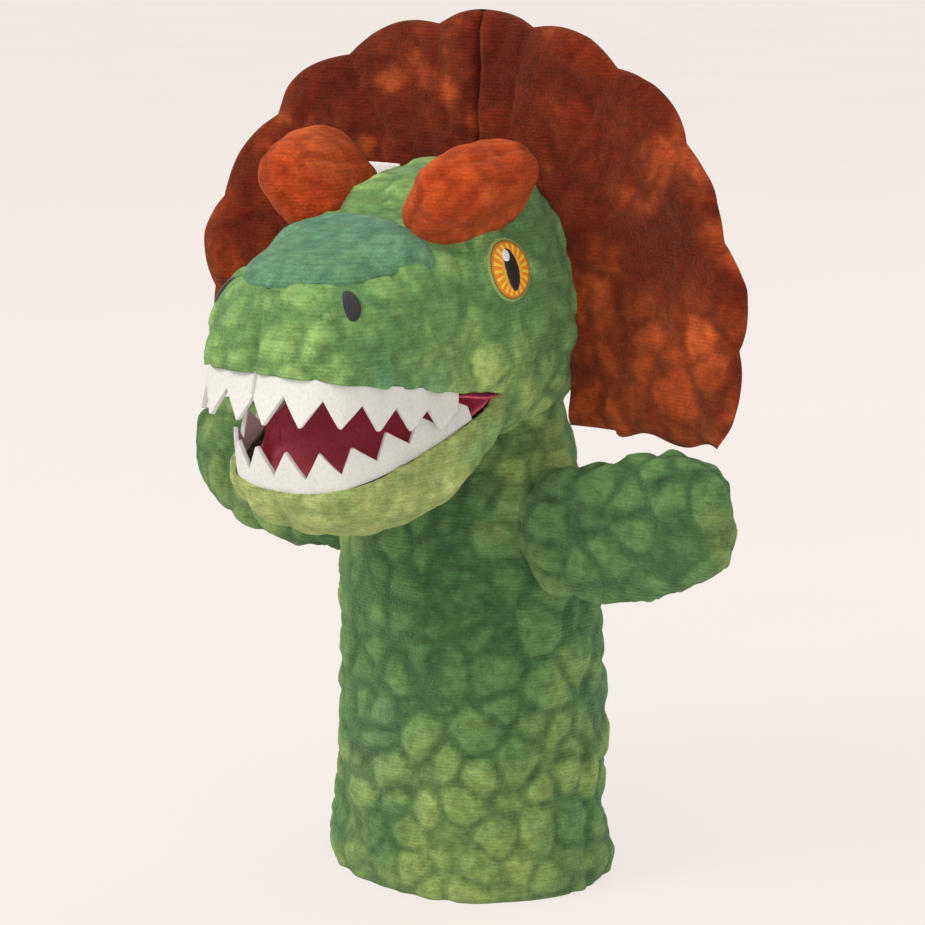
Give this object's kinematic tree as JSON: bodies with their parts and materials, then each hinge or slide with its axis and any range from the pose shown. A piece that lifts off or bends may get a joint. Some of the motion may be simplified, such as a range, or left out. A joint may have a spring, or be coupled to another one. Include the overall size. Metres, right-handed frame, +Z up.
{
  "type": "moving mouth hand puppet",
  "caption": "Plush glove puppet of a crested dinosaur with a mouth that opens, felt teeth, stuffed arms and crests, and a wide fan-shaped frill behind the head.",
  "frame": {"origin": "middle of the hand opening, in the plane of the sleeve's hem", "axes": "+Z up the sleeve towards the head, -Y the way the puppet faces, +X the puppet's left"},
  "size_m": [0.2408, 0.1605, 0.304],
  "materials": {
    "green": "short pile plush",
    "lime": "short pile plush",
    "teal": "short pile plush",
    "rust": "short pile plush",
    "wine": "smooth woven lining",
    "felt": "stiff felt",
    "lining": "thin woven lining",
    "fill": "loose polyester filling",
    "board": "thin flexible sheet",
    "iris": "embroidery",
    "black": "embroidery",
    "white": "embroidery",
    "tape": "woven tape"
  },
  "bodies": {
    "sleeve": {"sleeve_front_panel": "green", "sleeve_back_panel": "green", "sleeve_hem_band": "green", "sleeve_lining": "lining"},
    "neck": {"neck_front_panel": "green", "neck_back_panel": "green", "neck_lining": "lining"},
    "head": {"head_left_panel": "green", "head_right_panel": "green", "crown_panel": "green", "head_back_panel": "green", "snout_ridge": "teal", "palate_lining": "wine", "upper_jaw_board": "board", "finger_pocket": "lining", "head_stuffing": "fill", "upper_teeth": "felt", "left_eye_iris": "iris", "left_eye_pupil": "black", "left_eye_glint": "white", "right_eye_iris": "iris", "right_eye_pupil": "black", "right_eye_glint": "white", "left_nostril": "black", "right_nostril": "black", "care_label": "tape", "frill_centre_front": "rust", "frill_centre_batting": "fill", "frill_centre_back": "rust"},
    "lower_jaw": {"chin_panel": "lime", "mouth_floor_lining": "wine", "lower_jaw_board": "board", "thumb_pocket": "lining", "jaw_stuffing": "fill", "lower_teeth": "felt"},
    "left_arm": {"left_arm_front_panel": "green", "left_arm_back_panel": "green", "left_arm_stuffing": "fill"},
    "right_arm": {"right_arm_front_panel": "green", "right_arm_back_panel": "green", "right_arm_stuffing": "fill"},
    "left_crest": {"left_crest_outer_panel": "rust", "left_crest_inner_panel": "rust", "left_crest_stuffing": "fill"},
    "right_crest": {"right_crest_outer_panel": "rust", "right_crest_inner_panel": "rust", "right_crest_stuffing": "fill"},
    "left_frill": {"frill_left_front": "rust", "frill_left_batting": "fill", "frill_left_back": "rust"},
    "right_frill": {"frill_right_front": "rust", "frill_right_batting": "fill", "frill_right_back": "rust"}
  },
  "joints": [
    {"name": "neck_turn", "type": "hinge", "parent": "sleeve", "child": "neck", "pos_m": [0, 0, 0.134], "axis": [0, 0, 1], "range_deg": [-20, 20]},
    {"name": "head_nod", "type": "hinge", "parent": "neck", "child": "head", "pos_m": [0, 0, 0.15], "axis": [1, 0, 0], "range_deg": [-14, 12]},
    {"name": "jaw_open", "type": "hinge", "parent": "head", "child": "lower_jaw", "pos_m": [0, -0.033, 0.18], "axis": [1, 0, 0], "range_deg": [-17, 14]},
    {"name": "left_arm_raise", "type": "hinge", "parent": "sleeve", "child": "left_arm", "pos_m": [0.051, -0.013, 0.129], "axis": [0, -1, 0], "range_deg": [-33, 3], "stiffness_Nm_per_rad": 0.06},
    {"name": "right_arm_raise", "type": "hinge", "parent": "sleeve", "child": "right_arm", "pos_m": [-0.051, -0.013, 0.129], "axis": [0, 1, 0], "range_deg": [-33, 6], "stiffness_Nm_per_rad": 0.06},
    {"name": "left_crest_fold", "type": "hinge", "parent": "head", "child": "left_crest", "pos_m": [0.0285, -0.04031, 0.24221], "axis": [0.2079, 0.9633, 0.1699], "range_deg": [-13, 13], "stiffness_Nm_per_rad": 0.03},
    {"name": "left_frill_fold", "type": "hinge", "parent": "head", "child": "left_frill", "pos_m": [0.049, 0.003, 0.2], "axis": [0, 0, -1], "range_deg": [-25, 25], "stiffness_Nm_per_rad": 0.06},
    {"name": "right_crest_fold", "type": "hinge", "parent": "head", "child": "right_crest", "pos_m": [-0.0285, -0.04031, 0.24221], "axis": [0.2079, -0.9633, -0.1699], "range_deg": [-13, 13], "stiffness_Nm_per_rad": 0.03},
    {"name": "right_frill_fold", "type": "hinge", "parent": "head", "child": "right_frill", "pos_m": [-0.049, 0.003, 0.2], "axis": [0, 0, 1], "range_deg": [-25, 25], "stiffness_Nm_per_rad": 0.06}
  ]
}
